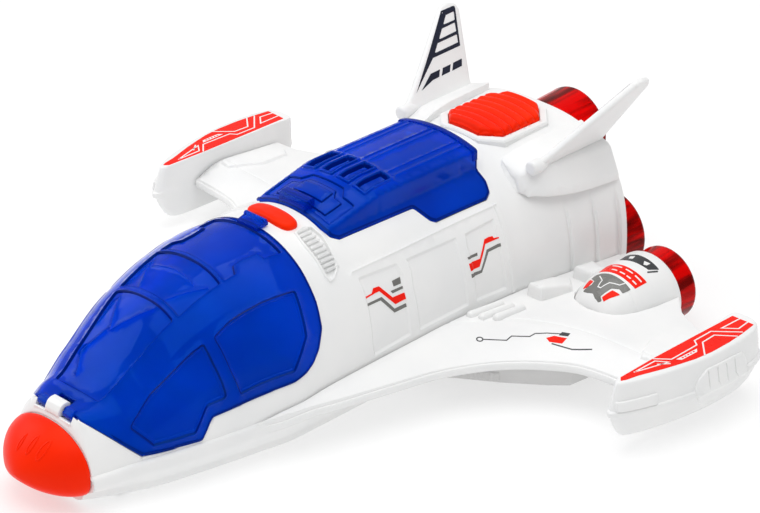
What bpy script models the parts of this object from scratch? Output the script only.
"""Toy space shuttle for small play figures.

Frame: nose towards -Y, port wing +X, +Z up, floor at Z = 0 under the wheels.
Sizes in this file are millimetres; SCALE turns them into metres.
"""
import math
import bpy
import bmesh
from mathutils import Vector

for old in list(bpy.data.objects):
    bpy.data.objects.remove(old, do_unlink=True)

# ---------------------------------------------------------------- dimensions
SCALE = 0.001            # millimetres to metres
GAP = 0.35               # clearance between neighbouring pieces
WALL = 2.2               # moulded wall thickness
BEAD_DEEP = 3.0          # depth of the bead below the parting line
WING_EDGE_Z = 24.7       # parting line height along the wings and pods
BEAD_OUT = 1.2           # how far the bead stands out
BELLY_Z = 2.6            # flat belly
TAIL_Y = 160.0           # flat tail face
COLLAR_Y = -162.0        # front of the white nose collar
CAP_DEPTH, CAP_Z = 21.8, 18.8        # dome of the nose cap, and its centre height
NOZZLE_RIM_Y = 189.6     # rim of the upper main nozzle
CENTRE_Y = 0.5 * (NOZZLE_RIM_Y + COLLAR_Y - GAP - CAP_DEPTH)   # middle of the length, moved to Y = 0
HINGE_Y, HINGE_Z = -156.4, 42.9      # front canopy hinge axis, along X
CARGO_HINGE_Y, CARGO_HINGE_Z = 86.5, 95.0   # cargo canopy hinge axis, along X
WHEEL_R, WHEEL_W = 8.0, 6.0
AXLE_R = 1.5
FRONT_AXLE_Y, REAR_AXLE_Y = -134.0, 92.0
FRONT_WHEEL_X, REAR_WHEEL_X = 19.0, 36.0
NACELLE_X, NACELLE_Z = 92.0, 22.0

# Upper hull arch at stations along the length.
# columns: y, half width at the parting line, parting line height, crown height,
# roundness exponent, height at which the crown is levelled off
ARCH = [
    (-162.0, 27.4, 17.5, 38.8, 2.05, 39.4),
    (-158.0, 28.8, 17.9, 50.2, 1.75, 43.8),
    (-150.0, 31.0, 18.4, 50.0, 2.15, 45.8),
    (-146.0, 32.2, 18.8, 49.9, 2.3, 47.2),
    (-130.0, 38.4, 20.0, 59.8, 2.3, 59.0),
    (-104.0, 45.4, 20.8, 78.0, 2.3, 79.5),
    (-75.0, 51.7, 22.1, 87.7, 2.3, 90.0),
    (-55.0, 55.5, 24.7, 89.6, 2.3, 92.0),
    (-36.0, 55.3, 24.7, 91.5, 2.1, 95.0),
    (0.0, 54.8, 24.7, 91.2, 2.1, 95.0),
    (50.0, 54.5, 24.7, 91.0, 2.1, 95.0),
    (95.0, 55.5, 24.7, 91.0, 2.15, 95.0),
    (125.0, 58.5, 24.7, 91.0, 2.5, 95.0),
    (160.0, 62.6, 24.7, 90.5, 2.8, 95.0),
]
# Lower hull at stations along the length.
# columns: y, bottom height, bottom half width as a share of the top
KEEL = [
    (-162.0, 5.0, 0.68),
    (-146.0, 3.4, 0.76),
    (-124.0, 2.6, 0.80),
    (-60.0, 2.6, 0.82),
    (100.0, 2.6, 0.82),
    (140.0, 3.0, 0.82),
    (160.0, 5.0, 0.80),
]


# ------------------------------------------------------------------- helpers
def blend_table(table, y, column):
    """Smooth value of a column at y, through the table's own rows."""
    ys = [row[0] for row in table]
    vs = [row[column] for row in table]
    if y <= ys[0]:
        return vs[0]
    if y >= ys[-1]:
        return vs[-1]
    i = max(j for j in range(len(ys) - 1) if ys[j] <= y)
    slopes = [(vs[j + 1] - vs[j]) / (ys[j + 1] - ys[j]) for j in range(len(ys) - 1)]

    def tangent(j):
        if j == 0:
            return slopes[0]
        if j == len(slopes):
            return slopes[-1]
        a, b = slopes[j - 1], slopes[j]
        return 0.0 if a * b <= 0 else 2 * a * b / (a + b)
    h = ys[i + 1] - ys[i]
    t = (y - ys[i]) / h
    a, b = vs[i], vs[i + 1]
    ma, mb = tangent(i) * h, tangent(i + 1) * h
    return ((2 * t ** 3 - 3 * t ** 2 + 1) * a + (t ** 3 - 2 * t ** 2 + t) * ma
            + (-2 * t ** 3 + 3 * t ** 2) * b + (t ** 3 - t ** 2) * mb)


def part_z(y):
    """Height of the parting line."""
    return blend_table(ARCH, y, 2)


def arch_size(y, grow=0.0):
    w = blend_table(ARCH, y, 1) + grow
    h = blend_table(ARCH, y, 3) - part_z(y) + grow
    return w, h, blend_table(ARCH, y, 4), blend_table(ARCH, y, 5) + grow


def level(z, top, soft=2.5):
    """The lower of two heights, with a soft turn between them."""
    k = max(soft - abs(z - top), 0.0) / soft
    return min(z, top) - k * k * soft / 4


def arch_x(y, z, grow=0.0):
    """Half width of the upper hull at a height."""
    w, h, n, top = arch_size(y, grow)
    f = min(max((z - part_z(y)) / h, 0.0), 1.0)
    return w * (1 - f ** n) ** (1 / n)


def arch_ring(y, grow=0.0, count=28, drop_base=0.0):
    """Closed section: arch from +X over the crown to -X, then the flat base."""
    w, h, n, top = arch_size(y, grow)
    base = part_z(y)
    ring = []
    for i in range(count + 1):
        a = math.pi * i / count
        c, s = math.cos(a), math.sin(a)
        x = math.copysign(abs(c) ** (2 / n), c) * w
        ring.append((x, y, level(base + h * max(s, 0.0) ** (2 / n), top)))
    if drop_base:
        ring[0] = (ring[0][0], y, base - drop_base)
        ring[-1] = (ring[-1][0], y, base - drop_base)
        ring.insert(1, (w, y, base))
        ring.insert(-1, (-w, y, base))
    return ring


def material(name, colour, rough, metal=0.0, alpha=1.0):
    m = bpy.data.materials.get(name) or bpy.data.materials.new(name)
    m.use_nodes = True
    b = m.node_tree.nodes["Principled BSDF"]
    b.inputs["Base Color"].default_value = (*colour, 1.0)
    b.inputs["Roughness"].default_value = rough
    b.inputs["Metallic"].default_value = metal
    b.inputs["Alpha"].default_value = alpha
    return m


COLOURS = {   # name: colour, roughness, metallic
    "white": ((0.86, 0.87, 0.88), 0.3, 0.0),
    "orange": ((0.95, 0.10, 0.03), 0.35, 0.0),
    "blue": ((0.0, 0.07, 0.75), 0.1, 0.0),
    "red": ((0.75, 0.0, 0.02), 0.15, 0.0),
    "grey": ((0.45, 0.47, 0.50), 0.4, 0.0),
    "black": ((0.03, 0.03, 0.035), 0.5, 0.0),
    "steel": ((0.6, 0.6, 0.62), 0.3, 1.0),
}


def finish(name, bm, colour, origin=(0, 0, 0), hidden=False, smooth=True):
    """Turn a bmesh in millimetres into a named object."""
    bmesh.ops.remove_doubles(bm, verts=bm.verts, dist=1e-4)
    bmesh.ops.recalc_face_normals(bm, faces=bm.faces)
    for v in bm.verts:
        v.co = (v.co - Vector(origin)) * SCALE
    me = bpy.data.meshes.new(name)
    bm.to_mesh(me)
    bm.free()
    ob = bpy.data.objects.new(name, me)
    bpy.context.scene.collection.objects.link(ob)
    ob.location = (Vector(origin) - Vector((0, CENTRE_Y, 0))) * SCALE
    if hidden:
        ob.hide_render = True
        ob.display_type = "WIRE"
    else:
        c, r, mt = COLOURS[colour]
        me.materials.append(material(name + "_" + colour, c, r, mt))
        if smooth:
            me.shade_smooth()
            me.set_sharp_from_angle(angle=math.radians(28))
    return ob


def loft(rings, caps=True):
    """Solid through rings that have the same number of points."""
    bm = bmesh.new()
    rows = [[bm.verts.new(p) for p in ring] for ring in rings]
    n = len(rows[0])
    for a, b in zip(rows, rows[1:]):
        for i in range(n):
            j = (i + 1) % n
            bm.faces.new((a[i], a[j], b[j], b[i]))
    if caps:
        bm.faces.new(rows[0])
        bm.faces.new(list(reversed(rows[-1])))
    return bm


def prism_x(points, x0, x1):
    """Outline in (y, z) run along X."""
    return loft([[(x, y, z) for y, z in points] for x in (x0, x1)])


def prism_z(points, z0, z1):
    return loft([[(x, y, z) for x, y in points] for z in (z0, z1)])


def box(x0, x1, y0, y1, z0, z1):
    return prism_z([(x0, y0), (x1, y0), (x1, y1), (x0, y1)], z0, z1)


def turned_y(profile, cx, cz, count=32):
    """Closed profile of (y, radius) turned about a line along Y."""
    rings = []
    for i in range(count):
        a = 2 * math.pi * i / count
        rings.append([(cx + r * math.cos(a), y, cz + r * math.sin(a)) for y, r in profile])
    bm = bmesh.new()
    rows = [[bm.verts.new(p) for p in ring] for ring in rings]
    n = len(profile)
    for k in range(count):
        a, b = rows[k], rows[(k + 1) % count]
        for i in range(n):
            j = (i + 1) % n
            if profile[i][1] < 1e-6 and profile[j][1] < 1e-6:
                continue
            bm.faces.new((a[i], a[j], b[j], b[i]))
    bmesh.ops.remove_doubles(bm, verts=bm.verts, dist=1e-4)
    bmesh.ops.dissolve_degenerate(bm, edges=bm.edges, dist=1e-5)
    return bm


def turned_x(profile, cy, cz, count=24):
    """Closed profile of (x, radius) turned about a line along X."""
    bm = turned_y(profile, 0, 0, count)
    for v in bm.verts:
        x, y, z = v.co
        v.co = (y, cy + x, cz + z)
    return bm


def cut(target, *cutters, operation="DIFFERENCE"):
    """Boolean modifiers, applied, so that the cutters can go."""
    for c in cutters:
        mod = target.modifiers.new(operation.lower(), "BOOLEAN")
        mod.operation = operation
        mod.solver = "EXACT"
        mod.object = c
        bpy.context.view_layer.update()
        deps = bpy.context.evaluated_depsgraph_get()
        me = bpy.data.meshes.new_from_object(target.evaluated_get(deps))
        target.modifiers.clear()
        old = target.data
        mats = list(old.materials)
        target.data = me
        me.materials.clear()
        for m in mats:
            me.materials.append(m)
        for p in me.polygons:
            p.material_index = 0
        bpy.data.meshes.remove(old)
    return target


def drop(*objects):
    for o in objects:
        bpy.data.objects.remove(o, do_unlink=True)


def clean(ob, dist=0.02):
    """Merge points closer than dist millimetres, and dissolve slivers."""
    bm = bmesh.new()
    bm.from_mesh(ob.data)
    bmesh.ops.remove_doubles(bm, verts=bm.verts, dist=dist * SCALE)
    bmesh.ops.dissolve_degenerate(bm, edges=bm.edges, dist=1e-6)
    bmesh.ops.triangulate(bm, faces=[f for f in bm.faces if len(f.verts) > 4])
    bm.to_mesh(ob.data)
    bm.free()
    ob.data.shade_smooth()
    ob.data.set_sharp_from_angle(angle=math.radians(28))
    return ob


def stations(y0, y1, step):
    """Table rows between two ends, with no step longer than given."""
    marks = [y0] + [r[0] for r in ARCH if y0 + 3 < r[0] < y1 - 3] + [y1]
    out = []
    for a, b in zip(marks, marks[1:]):
        k = max(1, math.ceil((b - a) / step))
        out += [a + (b - a) * i / k for i in range(k)]
    return out + [y1]


# -------------------------------------------------- outlines of the canopies
# side view outlines (y, z), cut through the whole width
COCKPIT_EDGE = [(-158.1, 60.0), (-158.1, 42.6), (-138.8, 23.1), (-110.2, 23.1), (-104.4, 33.2),
                (-82.4, 36.0), (-61.5, 38.0), (-55.0, 40.2), (-50.0, 43.2), (-45.0, 48.3),
                (-40.0, 56.4), (-37.9, 67.2), (-37.0, 80.0), (-37.0, 110.0), (-158.1, 110.0)]
CARGO_EDGE = [(-13.0, 110.0), (-13.0, 87.4), (-11.5, 84.4), (-8.0, 82.8), (40.5, 82.0), (45.0, 76.2),
              (48.0, 74.6), (82.5, 74.6), (86.6, 76.6), (88.6, 80.6), (88.6, 110.0)]


def grown(points, d):
    """Outline moved outwards by d (inwards when negative), corner by corner."""
    n = len(points)
    area = sum(points[i][0] * points[(i + 1) % n][1] - points[(i + 1) % n][0] * points[i][1]
               for i in range(n))
    side = 1 if area > 0 else -1
    out = []
    for i in range(n):
        p0, p1, p2 = (Vector(points[i - 1]), Vector(points[i]), Vector(points[(i + 1) % n]))
        e1, e2 = (p1 - p0).normalized(), (p2 - p1).normalized()
        n1, n2 = Vector((e1.y, -e1.x)) * side, Vector((e2.y, -e2.x)) * side
        m = (n1 + n2).normalized()
        out.append(tuple(p1 + m * d / max(m.dot(n1), 0.3)))
    return out


# ---------------------------------------------------------------- upper hull
arch_stations = stations(COLLAR_Y, TAIL_Y, 14.0)
hull = finish("hull_upper", loft([arch_ring(y) for y in arch_stations]), "white")
hollow = finish("hollow_guide", loft([arch_ring(y, -WALL, drop_base=5.0)
                                      for y in [COLLAR_Y + 2.0] + stations(-157.5, TAIL_Y - WALL, 14.0)]),
                None, hidden=True)
cockpit_cut = finish("cockpit_cutter", prism_x(COCKPIT_EDGE, -90, 90), None, hidden=True)
cargo_cut = finish("cargo_cutter", prism_x(CARGO_EDGE, -90, 90), None, hidden=True)

# nose collar: the hinge recess in front of the canopy
hinge_cut = finish("hinge_cutter", box(-12.5, 12.5, -160.6, -156.6, 40.3, 60), None, hidden=True)
lip_cut = finish("lip_cutter", box(-15.2, 15.2, -158.9, -156.6, 40.4, 60), None, hidden=True)
cut(hull, hinge_cut, lip_cut, hollow, cockpit_cut, cargo_cut)
clean(hull)

# ------------------------------------------------------------- front canopy
canopy = finish("cockpit_canopy", loft([arch_ring(y) for y in stations(-161.0, -30.0, 7.0)]), "blue",
                origin=(0, HINGE_Y, HINGE_Z))
canopy_trim = finish("canopy_trim", prism_x(grown(COCKPIT_EDGE, -GAP), -90, 90), None, hidden=True)
canopy_hollow = finish("canopy_hollow", loft([arch_ring(y, -2.0, drop_base=5.0)
                                              for y in stations(-155.6, -28.0, 7.0)]), None, hidden=True)
notch = finish("notch_piece", box(-5.05, 5.05, -165.0, HINGE_Y + 5.2, 30.0, 60.0), None, hidden=True)
cut(canopy, canopy_trim, operation="INTERSECT")
cut(canopy, canopy_hollow, notch)
# finger tab at the rear and hinge knuckles at the nose
tab = finish("tab_piece", prism_x([(-41.0, 89.8), (-37.3, 91.9), (-33.6, 91.9), (-33.6, 93.4), (-34.6, 95.5), (-36.4, 95.5),
                                   (-36.8, 93.9), (-41.0, 92.7)], -9, 9), None, hidden=True)
cut(canopy, tab, operation="UNION")
for side in (-1, 1):
    knuckle = finish("knuckle_piece", turned_x([(5.2, 0), (5.2, 1.7), (11.5, 1.7), (11.5, 0)],
                                               HINGE_Y, HINGE_Z, 16), None, hidden=True)
    arm = finish("arm_piece", prism_x([(HINGE_Y, HINGE_Z - 1.5), (HINGE_Y + 7, HINGE_Z - 0.9),
                                       (HINGE_Y + 7, HINGE_Z + 1.4), (HINGE_Y, HINGE_Z + 0.8)], 5.4, 11.3),
                 None, hidden=True)
    if side < 0:
        for o in (knuckle, arm):
            bm = bmesh.new()
            bm.from_mesh(o.data)
            for v in bm.verts:
                v.co.x = -v.co.x
            bmesh.ops.reverse_faces(bm, faces=bm.faces)
            bm.to_mesh(o.data)
            bm.free()
    cut(canopy, arm, knuckle, operation="UNION")
    drop(arm, knuckle)
pin = finish("pin_piece", turned_x([(-5.6, 0), (-5.6, 1.0), (5.6, 1.0), (5.6, 0)], HINGE_Y, HINGE_Z, 16),
             None, hidden=True)
cut(canopy, pin, operation="UNION")
clean(canopy)

# white clip that holds the canopy's pin
clip = finish("canopy_clip", prism_x([(-161.6, 40.3), (-161.0, 43.0), (-159.6, 45.3), (-157.4, 46.4),
                                      (-155.2, 46.5), (-153.8, 45.4), (-154.0, 43.6), (-154.6, 42.0),
                                      (-155.6, 41.0), (-157.4, 40.7)], -4.7, 4.7), "white")
clip_bore = finish("clip_bore", turned_x([(-9, 0), (-9, 1.35), (9, 1.35), (9, 0)], HINGE_Y, HINGE_Z, 16),
                   None, hidden=True)
# the collar's slope runs straight between two stations; this guide follows it up to the hinge recess
rim_ring, lip_ring = arch_ring(COLLAR_Y, GAP), arch_ring(-158.0, GAP)
recess_ring = [tuple(Vector(a).lerp(Vector(b), (-160.6 + GAP - COLLAR_Y) / 4.0)) for a, b in zip(rim_ring, lip_ring)]
collar_guide = finish("collar_guide", loft([[(x, y - 1.0, z) for x, y, z in rim_ring], rim_ring, recess_ring]),
                      None, hidden=True)
hull_guide = finish("hull_guide", loft([arch_ring(y, GAP) for y in stations(-180.0, 165.0, 14.0)]),
                    None, hidden=True)
cut(clip, collar_guide, clip_bore)
clean(clip)

# ------------------------------------------------------------- cargo canopy
# raised spine of the cargo canopy at stations along the length.
# columns: y, half width, edge height, crown height
SPINE = [(-12.6, 24.6, 86.5, 91.8), (-6.0, 25.0, 88.4, 93.4), (22.0, 25.2, 95.0, 98.8),
         (60.0, 25.2, 95.2, 99.0), (88.2, 25.2, 95.2, 99.0)]


def spine_ring(y, w, edge, crown, inset=0.0):
    """Section of the spine: flat sides, gently crowned top."""
    top = []
    for i in range(9):
        f = -1 + i / 4
        top.append((-f * (w - inset), y, edge + (crown - edge) * (1 - f * f) - inset))
    low = 66.0
    return [(w - inset, y, low)] + top + [(-(w - inset), y, low)]


cargo = finish("cargo_canopy", loft([arch_ring(y) for y in stations(-20.0, 95.0, 12.0)]), "blue",
               origin=(0, CARGO_HINGE_Y, CARGO_HINGE_Z))
spine = finish("spine_piece", loft([spine_ring(*r) for r in SPINE]), None, hidden=True)
cut(cargo, spine, operation="UNION")
cargo_trim = finish("cargo_trim", prism_x(grown(CARGO_EDGE, -GAP), -90, 90), None, hidden=True)
cut(cargo, cargo_trim, operation="INTERSECT")
cargo_hollow = finish("cargo_hollow", loft([arch_ring(y, -2.0, drop_base=5.0)
                                            for y in stations(-25.0, 100.0, 12.0)]), None, hidden=True)
spine_rows = [(-10.4,) + SPINE[0][1:], SPINE[1], SPINE[2], SPINE[3], (86.2,) + SPINE[4][1:]]
spine_hollow = finish("spine_hollow", loft([spine_ring(*r, inset=2.0) for r in spine_rows]),
                      None, hidden=True)
cut(cargo, cargo_hollow, spine_hollow)
tab2 = finish("tab_piece_2", prism_x([(-5.0, 91.0), (-5.0, 94.4), (-9.4, 95.6), (-10.6, 94.6), (-11.4, 89.6),
                                      (-9.0, 89.4)], -8.5, 8.5), None, hidden=True)
cut(cargo, tab2, operation="UNION")
clean(cargo)

# ---------------------------------------------------------------- lower hull
def keel_ring(y, inset=0.0, bead=0.0, rise=-GAP):
    """Closed section of the tub: top edge, bead, drafted side, rounded bilge."""
    w = blend_table(ARCH, y, 1) - inset
    z0 = blend_table(KEEL, y, 1) + inset
    top, low = part_z(y) + rise, part_z(y) - BEAD_DEEP
    wb = blend_table(ARCH, y, 1) * blend_table(KEEL, y, 2) - inset
    r = 5.0
    half = [(w, top), (w + bead, top - 0.5 * (bead > 0)), (w + bead, low), (w, low - 0.3)]
    bil = []
    for i in range(5):
        a = math.radians(78) * i / 4
        bil.append((wb + 1.5 - r * (1 - math.cos(a)), z0 + r - r * math.sin(a)))
    half += bil + [(wb - 6.0, z0)]
    ring = [(x, y, z) for x, z in half] + [(-x, y, z) for x, z in reversed(half)]
    return ring


BEAD_END_Y = -98.3       # from here back the bead runs along the wing's edge
keel_rows = sorted(stations(COLLAR_Y, BEAD_END_Y, 18.0) + stations(BEAD_END_Y + 0.4, TAIL_Y, 18.0))
lower = finish("hull_lower", loft([keel_ring(y, bead=BEAD_OUT if y <= BEAD_END_Y else 0.02) for y in keel_rows]),
               "white")
lower_hollow = finish("lower_hollow", loft([keel_ring(y, inset=WALL, bead=0.0, rise=6.0)
                                            for y in stations(COLLAR_Y + 2.4, TAIL_Y - WALL, 18.0)]),
                      None, hidden=True)
cut(lower, lower_hollow)
# bearing lugs for the axles, wheel slots and battery hatch.
# columns: lug x, axle y
LUGS = [(FRONT_WHEEL_X - 6.5, FRONT_AXLE_Y), (-FRONT_WHEEL_X + 6.5, FRONT_AXLE_Y),
        (REAR_WHEEL_X - 6.5, REAR_AXLE_Y), (-REAR_WHEEL_X + 6.5, REAR_AXLE_Y)]
for x, y in LUGS:
    z0 = blend_table(KEEL, y, 1) + 0.5
    lug = finish("lug_piece", prism_x([(y - 5, z0), (y + 5, z0), (y + 5, 11), (y + 2.5, 13.5), (y - 2.5, 13.5),
                                       (y - 5, 11)], x - 1.2, x + 1.2), None, hidden=True)
    cut(lower, lug, operation="UNION")
    drop(lug)
for y, wx in ((FRONT_AXLE_Y, FRONT_WHEEL_X), (REAR_AXLE_Y, REAR_WHEEL_X)):
    bore = finish("bore_piece", turned_x([(-wx - 1, 0), (-wx - 1, AXLE_R + 0.3), (wx + 1, AXLE_R + 0.3),
                                          (wx + 1, 0)], y, WHEEL_R, 16), None, hidden=True)
    cut(lower, bore)
    drop(bore)
    for s in (-1, 1):
        slot = finish("slot_piece", box(s * wx - 4.3, s * wx + 4.3, y - 10, y + 10, -5, 9), None, hidden=True)
        cut(lower, slot)
        drop(slot)
hatch = finish("hatch_piece", box(-25, 25, -30, 42, -5, 9), None, hidden=True)
cut(lower, hatch)
clean(lower)
door = finish("battery_door", prism_z([(-25 + GAP, -30 + GAP), (25 - GAP, -30 + GAP), (25 - GAP, 42 - GAP),
                                       (-25 + GAP, 42 - GAP)], BELLY_Z, BELLY_Z + 2.0), "white")

# ------------------------------------------------------------------ nose cap
# columns: share of the depth, from the rim to the tip
CAP = [0.0, 0.08, 0.2, 0.34, 0.48, 0.62, 0.74, 0.84, 0.92, 0.97, 1.0]
CAP_W, CAP_TOP, CAP_LOW, CAP_TURN = 27.4, 38.6, 4.8, 1.58   # rim half width and heights, dome exponent


def oval_ring(t, count=28):
    """Section of the dome: fuller below than above."""
    f = max((1 - t ** CAP_TURN) ** (1 / CAP_TURN), 0.03)
    ring = []
    for i in range(count):
        a = 2 * math.pi * i / count
        up = math.sin(a) > 0
        h, n = (CAP_TOP - CAP_Z, 2.1) if up else (CAP_Z - CAP_LOW, 2.9)
        c = math.copysign(abs(math.cos(a)) ** (2 / n), math.cos(a))
        s = math.copysign(abs(math.sin(a)) ** (2 / n), math.sin(a))
        ring.append((CAP_W * f * c, COLLAR_Y - GAP - CAP_DEPTH * t, CAP_Z + h * f * s))
    return ring


nose = finish("nose_cap", loft([oval_ring(t) for t in CAP]), "orange")

# -------------------------------------------------------------------- wings
# swept edge and the crease or root line behind it, at stations.
# columns: edge x, edge y, inner x (0 = at the hull side), inner y, inner z
EDGE = [(48.0, -96.8, 0, -97.4, 22.2), (52.4, -82.7, 0, -82.5, 24.6), (59.4, -64.2, 0, -62.8, 27.7),
        (65.3, -44.4, 0, -42.0, 29.6), (71.6, -18.0, 0, -14.0, 30.2), (78.4, 8.4, 0, 16.0, 30.6),
        (84.8, 22.2, 0, 34.0, 31.0), (92.9, 34.9, 65.4, 50.0, 31.0), (106.5, 48.6, 78.0, 65.4, 31.0),
        (123.4, 58.8, 95.9, 74.8, 31.0), (141.5, 61.5, 117.6, 79.6, 31.0), (153.6, 62.5, 153.6, 81.5, 31.0)]
# trailing edge from the pod to the hull: x, y (0 = at the hull side)
TRAIL = [(153.6, 121.5), (139.6, 122.6), (130.7, 126.5), (124.0, 130.0), (114.0, 140.0), (100.0, 148.0),
         (80.0, 152.0), (0, 154.0)]
WING_TOP_TRAIL, WING_UNDER, EDGE_DEEP = 27.5, 16.0, 4.1


def hull_side(y):
    return blend_table(ARCH, y, 1) + GAP + 0.35


def wing_bmesh(side):
    bm = bmesh.new()

    def v(x, y, z):
        return bm.verts.new((side * x, y, z))
    edge_top, bead_top, bead_low, edge_low, in_top, in_low, mid_top = [], [], [], [], [], [], []
    for k, (ex, ey, ix, iy, iz) in enumerate(EDGE):
        ix = ix or hull_side(iy)
        d = Vector((ex - ix, ey - iy))
        d.normalize()
        tx, ty = ex - d.x * BEAD_OUT * 0.9, ey - d.y * BEAD_OUT * 0.9
        if k == 0:
            tx, ty = ix + 0.25, iy
            ex = ix + 0.7
        pz = part_z(ey)
        edge_top.append(v(tx, ty, pz + 0.2))
        bead_top.append(v(ex, ey, pz - 0.4))
        bead_low.append(v(ex, ey, pz - BEAD_DEEP))
        edge_low.append(v(tx, ty, pz - EDGE_DEEP))
        f = 0.45
        mid_top.append(v(tx + (ix - tx) * f, ty + (iy - ty) * f, pz + 0.2 + (iz - pz - 0.2) * 0.66))
        in_top.append(v(ix, iy, iz))
        share = min(max((iy + 97.4) / 125.0, 0.0), 1.0)
        in_low.append(v(ix, iy, pz - EDGE_DEEP + (WING_UNDER - pz + EDGE_DEEP) * share))
    rows = [in_top, mid_top, edge_top, bead_top, bead_low, edge_low, in_low]
    for a, b in zip(rows, rows[1:]):
        for i in range(len(EDGE) - 1):
            bm.faces.new((a[i], a[i + 1], b[i + 1], b[i]))
    # root wall along the hull, front part
    last = 6
    for i in range(last):
        bm.faces.new((in_top[i], in_top[i + 1], in_low[i + 1], in_low[i]))
    bm.faces.new([r[0] for r in rows])
    # plateau behind the crease
    t_top, t_low = [], []
    for x, y in TRAIL:
        x = x or hull_side(y)
        t_top.append(v(x, y, WING_TOP_TRAIL))
        t_low.append(v(x, y, WING_UNDER + 1.5))
    r_top, r_low = [], []
    for y in (130.0, 105.0, 80.0, 55.0):
        f = (y - 34.0) / 120.0
        r_top.append(v(hull_side(y), y, 31.0 + (WING_TOP_TRAIL - 31.0) * f))
        r_low.append(v(hull_side(y), y, WING_UNDER + 1.5 * f))
    top_loop = in_top[last:] + t_top + r_top
    low_loop = in_low[last:] + t_low + r_low
    bm.faces.new(top_loop)
    bm.faces.new(list(reversed(low_loop)))
    n = len(top_loop)
    start = len(in_top) - last - 1
    # closing wall: pod side, trailing edge, hull side
    end_row = [r[-1] for r in rows]
    for i in range(start, n):
        j = (i + 1) % n
        if i == start:
            # pod side, from the swept edge back
            bm.faces.new([in_top[-1], t_top[0], t_low[0], in_low[-1]])
            continue
        bm.faces.new((top_loop[i], top_loop[j], low_loop[j], low_loop[i]))
    bm.faces.new(end_row)
    bmesh.ops.triangulate(bm, faces=[f for f in bm.faces if len(f.verts) > 4])
    return bm


# ------------------------------------------------------------ wing tip pods
# outline of a pod at the bead, (x, y), inner face first
POD_MID = [(154.2, 133.0), (154.2, 120.0), (154.6, 90.0), (155.0, 60.0), (155.4, 42.0), (156.0, 38.4),
           (158.6, 36.6), (161.8, 38.9), (166.4, 48.0), (169.7, 57.1), (172.8, 67.5), (175.1, 77.9),
           (177.2, 93.6), (177.2, 112.0), (175.4, 124.0), (172.0, 131.0), (167.0, 133.8), (160.0, 134.2)]
POD_CX, POD_CY = 156.0, 92.0
# columns: z, scale across, scale along, shift along
POD_LEVELS = [(7.2, 0.56, 0.80, 2.5), (8.2, 0.66, 0.86, 2.0), (11.0, 0.74, 0.90, 1.5), (WING_EDGE_Z - 3.0, 0.90, 0.965, 0.6),
              (WING_EDGE_Z - 2.7, 1.0, 1.0, 0.0), (WING_EDGE_Z - 0.3, 1.0, 1.0, 0.0), (WING_EDGE_Z, 0.92, 0.975, 0.4),
              (34.0, 0.76, 0.93, 2.4), (37.0, 0.70, 0.91, 3.0), (38.4, 0.60, 0.885, 3.4)]


def pod_bmesh(side):
    rings = []
    for z, sx, sy, dy in POD_LEVELS:
        ring = []
        for x, y in POD_MID:
            px = POD_CX + (x - POD_CX) * (sx if x > POD_CX else 1.0)
            ring.append((side * px, POD_CY + (y - POD_CY) * sy + dy, z))
        rings.append(ring)
    return loft(rings)


# ---------------------------------------------------- engine cowls, nozzles
COWL = [(97.5, 0.0), (98.2, 8.0), (100.5, 12.5), (104.5, 15.8), (111.0, 18.2), (124.0, 20.2), (142.0, 21.2),
        (143.5, 20.6), (143.5, 19.6), (136.5, 19.6), (136.5, 0.0)]
# nozzles: name, x, z, radius, front y, rim y
NOZZLES = [("nozzle_wing_left", NACELLE_X, NACELLE_Z, 19.2, 136.9, 157.0),
           ("nozzle_wing_right", -NACELLE_X, NACELLE_Z, 19.2, 136.9, 157.0),
           ("nozzle_main_top", 0.0, 65.8, 21.7, 160.4, NOZZLE_RIM_Y),
           ("nozzle_main_left", 40.0, 26.2, 21.7, 160.4, 176.0),
           ("nozzle_main_right", -40.0, 26.2, 21.7, 160.4, 176.0)]
for name, x, z, r, y0, y1 in NOZZLES:
    finish(name, turned_y([(y0, 0), (y0, r * 0.93), (y1 - 1.0, r), (y1, r - 0.6), (y1, r - 2.2), (y0 + 2.2, r * 0.93 - 2.2),
                           (y0 + 2.2, 0)], x, z), "red", origin=(x, y0, z))

# -------------------------------------------- underwing fairings, per side
FAIRING = [(60.0, 22.0), (68.3, 29.5), (86.4, 41.6), (104.0, 55.5), (112.6, 64.1), (113.9, 76.0), (112.0, 96.0),
           (68.0, 96.0), (60.0, 90.0)]

# ------------------------------------------------------------ shoulder plates
# columns: y, inner x, inner z, ridge x, ridge z, lower x, lower z
PLATE = [(99.0, 28.3, 87.8, 39.5, 82.5, 45.5, 74.0), (103.5, 28.5, 90.2, 43.0, 84.8, 49.5, 73.5),
         (112.0, 29.0, 90.6, 46.5, 84.9, 53.3, 71.5), (134.0, 30.3, 90.8, 49.8, 84.3, 57.0, 68.3),
         (157.6, 31.6, 90.8, 51.2, 83.8, 58.8, 67.0)]
# fin: cant from upright, middle of its root, boss place and radius
FIN_CANT, FIN_X, FIN_Z = 31.0, 45.2, 86.4
BOSS_Y, BOSS_R = 107.6, 4.2

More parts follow.
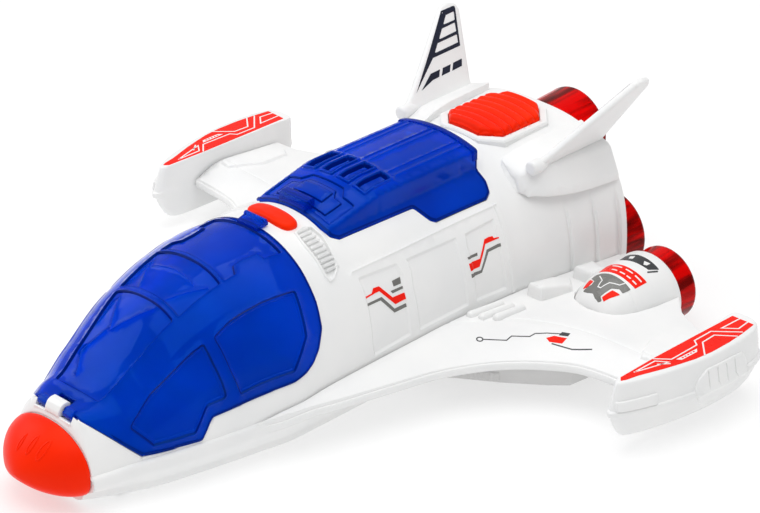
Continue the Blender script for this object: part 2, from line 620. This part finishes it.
for side, tag in ((1, "left"), (-1, "right")):
    wing = finish("wing_" + tag, wing_bmesh(side), "white")
    nacelle_cut = finish("nacelle_cutter", turned_y([(97.5 - GAP, 0.0)] + [(y - (0.3 if y < 110 else 0), r + GAP)
                         for y, r in COWL[1:7]] + [(175.0, 21.6), (175.0, 0.0)], side * NACELLE_X, NACELLE_Z),
                         None, hidden=True)
    cut(wing, nacelle_cut)
    clean(wing)
    drop(nacelle_cut)
    finish("pod_" + tag, pod_bmesh(side), "white")
    finish("nacelle_" + tag, turned_y(COWL, side * NACELLE_X, NACELLE_Z), "white")
    f = [(side * x, y) for x, y in FAIRING]
    finish("fairing_" + tag, loft([[(x, y, z) for x, y in grown(f, d)] for z, d in
                                   ((7.0, -3.5), (8.0, -2.2), (15.2, 0.0))]), "white")

    rings = []
    for y, x1, z1, x2, z2, x3, z3 in PLATE:
        rings.append([(side * x1, y, z1), (side * x2, y, z2), (side * x3, y, z3), (side * 30.0, y, 60.0)])
    plate = finish("fin_plate_" + tag, loft(rings), "white")
    cut(plate, hull_guide)
    clean(plate)

    # canted fin: root chord and tip chord, plate thickness across the cant
    cant = math.radians(FIN_CANT)
    nx, nz = math.cos(cant), -math.sin(cant)
    # outline along the fin: (y, height up the fin)
    fin_outline = [(110.0, 0.0), (157.0, 0.0), (168.0, 37.0), (166.5, 40.8), (161.0, 42.6), (156.5, 42.0),
                   (152.5, 38.6), (120.0, 9.2)]
    base_x, base_z = FIN_X, FIN_Z
    fin_rings = []
    for t, d in ((-2.4, -0.9), (-1.8, 0.0), (1.8, 0.0), (2.4, -0.9)):
        ring = []
        for y, u in fin_outline:
            cy, cu = 141.0, 16.0
            yy = y + (cy - y) * (0.03 if d else 0.0)
            uu = max(u + (cu - u) * (0.03 if d else 0.0), 0.0)
            ring.append((side * (base_x + math.sin(cant) * uu + nx * t), yy,
                         base_z + math.cos(cant) * uu + nz * t))
        fin_rings.append(ring)
    fin = finish("fin_" + tag, loft(fin_rings), "white")
    boss = turned_y([(-4.0, 0), (-4.0, BOSS_R - 0.5), (-3.5, BOSS_R), (3.5, BOSS_R), (4.0, BOSS_R - 0.5),
                     (4.0, 0)], 0, 0, 20)
    for p in boss.verts:
        a, b, c = p.co.x, p.co.y, p.co.z        # b runs along the boss
        p.co = (side * (base_x + math.sin(cant) * (3.0 + c) + nx * b), BOSS_Y + a,
                base_z + math.cos(cant) * (3.0 + c) + nz * b)
    boss_ob = finish("boss_piece", boss, None, hidden=True)
    cut(fin, boss_ob, operation="UNION")
    plate_guide = finish("plate_guide", loft([[(side * (x1 - 12), y, z1 + GAP + 3.0 + 0.4), (side * x1, y, z1 + GAP),
                                               (side * x2, y, z2 + GAP),
                                               (side * (x3 + GAP), y, z3 + GAP), (side * 20.0, y, 50.0)]
                                              for y, x1, z1, x2, z2, x3, z3 in
                                              [(90.0,) + PLATE[0][1:]] + PLATE + [(170.0,) + PLATE[-1][1:]]]),
                         None, hidden=True)
    cut(fin, plate_guide)
    clean(fin)
    drop(boss_ob, plate_guide)

# ------------------------------------------------- vent button and its frame
def octagon(hx, y0, y1, c):
    return [(-hx + c, y0), (hx - c, y0), (hx, y0 + c), (hx, y1 - c), (hx - c, y1), (-hx + c, y1),
            (-hx, y1 - c), (-hx, y0 + c)]


def crowned(outline, low, edge, crown, half):
    """Prism with a top that is crowned across X, in strips."""
    bm = bmesh.new()
    ys = [p[1] for p in outline]
    n = 12
    xs = [-half + 2 * half * i / n for i in range(n + 1)]

    def span(x):
        lo, hi = [], []
        for i in range(len(outline)):
            (xa, ya), (xb, yb) = outline[i], outline[(i + 1) % len(outline)]
            if min(xa, xb) - 1e-9 <= x <= max(xa, xb) + 1e-9:
                if abs(xa - xb) < 1e-9:
                    lo += [ya, yb]
                else:
                    lo.append(ya + (yb - ya) * (x - xa) / (xb - xa))
        return min(lo), max(lo)
    rings = []
    for x in xs:
        a, b = span(x)
        z = edge + (crown - edge) * (1 - (x / half) ** 2)
        rings.append([(x, a, low), (x, b, low), (x, b, z), (x, a, z)])
    bm.free()
    return loft(rings)


VENT_Y0, VENT_Y1, VENT_X = 105.4, 149.4, 18.6
frame_ob = finish("vent_frame", crowned(octagon(VENT_X + 4.0, VENT_Y0 - 3.2, VENT_Y1 + 3.2, 9.6), 80.0, 91.2, 92.6,
                                        VENT_X + 4.0), "white")
vent_cut = finish("vent_cutter", crowned(octagon(VENT_X + GAP, VENT_Y0 - GAP, VENT_Y1 + GAP, 8.6), 70.0, 110.0, 112.0,
                                         VENT_X + GAP), None, hidden=True)
cut(frame_ob, hull_guide, vent_cut)
clean(frame_ob)
vent = finish("vent_button", crowned(octagon(VENT_X, VENT_Y0, VENT_Y1, 8.6), 80.0, 94.6, 96.6, VENT_X), "orange")
cut(vent, hull_guide)
clean(vent)

# oval push button on the hoop
OVAL_Y, OVAL_A, OVAL_B = -25.0, 14.8, 5.0
oval = [(OVAL_A * math.cos(2 * math.pi * i / 24), OVAL_Y + OVAL_B * math.sin(2 * math.pi * i / 24)) for i in range(24)]
button = finish("oval_button", prism_z(oval, 80.0, 110.0), "orange")
button_top = finish("button_top", loft([arch_ring(y, 1.8) for y in stations(-40.0, -10.0, 6.0)]), None, hidden=True)
cut(button, button_top, operation="INTERSECT")
cut(button, hull_guide)
clean(button)

# ------------------------------------------------------ cockpit and cargo bay
# cockpit tub: a floor tray that fills the lower hull, with a sunk foot well
def tub_outline(inset, y0, y1, steps=8):
    pts = []
    for i in range(steps + 1):
        y = y0 + (y1 - y0) * i / steps
        pts.append((blend_table(ARCH, y, 1) - WALL - inset, y))
    return pts + [(-x, y) for x, y in reversed(pts)]


tub = finish("cockpit_tub", loft([[(x, y, z) for x, y in tub_outline(d, -150.0, -38.0)]
                                  for z, d in ((13.5, 8.0), (18.5, 3.4), (22.6, 1.6))]), "grey")
well = finish("well_cutter", prism_z([(-31, -119), (31, -119), (36, -104), (36, -44), (-36, -44), (-36, -104)],
                                     17.5, 60.0), None, hidden=True)
cut(tub, well)
front_under = finish("front_under", box(-60, 60, -160, -121.5, 10, 19.8), None, hidden=True)
cut(tub, front_under)
clean(tub)

seat = finish("pilot_seat", prism_x([(-84.0, 17.9), (-84.0, 24.0), (-83.0, 25.0), (-62.0, 25.0), (-56.5, 48.0),
                                     (-54.0, 60.0), (-51.0, 62.0), (-48.5, 60.0), (-49.5, 17.9)], -13.0, 13.0), "grey")
console = finish("cockpit_console", prism_x([(-137.0, 23.0), (-137.0, 30.0), (-131.0, 37.0), (-127.0, 38.5),
                                             (-121.0, 31.0), (-121.0, 23.0)], -20.0, 20.0), "grey")
bulkhead = finish("cockpit_bulkhead", loft([arch_ring(y, -WALL - GAP) for y in (-33.0, -31.0)]), "white")

# cargo tray: open box under the cargo canopy
tray = finish("cargo_tray", box(-30.0, 30.0, -12.0, 86.0, 46.0, 72.0), "grey")
tray_cut = finish("tray_cutter", box(-28.0, 28.0, -10.0, 84.0, 48.0, 90.0), None, hidden=True)
cut(tray, tray_cut)
clean(tray)

# --------------------------------------------------------- axles and wheels
for tag, y, wx in (("front", FRONT_AXLE_Y, FRONT_WHEEL_X), ("rear", REAR_AXLE_Y, REAR_WHEEL_X)):
    half = wx + WHEEL_W / 2
    finish("axle_" + tag, turned_x([(-half - 0.8, 0), (-half - 0.8, AXLE_R), (half + 0.8, AXLE_R), (half + 0.8, 0)],
                                   y, WHEEL_R, 16), "steel", origin=(0, y, WHEEL_R))
    for side, s in (("left", 1), ("right", -1)):
        a, b = s * wx - WHEEL_W / 2, s * wx + WHEEL_W / 2
        rb = AXLE_R + GAP
        prof = [(a, rb), (a, 6.6), (a + 0.6, 7.6), (a + 1.4, WHEEL_R), (b - 1.4, WHEEL_R), (b - 0.6, 7.6), (b, 6.6),
                (b, rb)]
        finish("wheel_%s_%s" % (tag, side), turned_x(prof, y, WHEEL_R, 28), "black", origin=(s * wx, y, WHEEL_R))

drop(hollow, cockpit_cut, cargo_cut, hinge_cut, lip_cut, notch, collar_guide, canopy_trim, canopy_hollow, tab, pin, clip_bore, hull_guide,
     spine, cargo_trim, cargo_hollow, spine_hollow, tab2, lower_hollow, hatch, vent_cut, button_top, well,
     front_under, tray_cut)
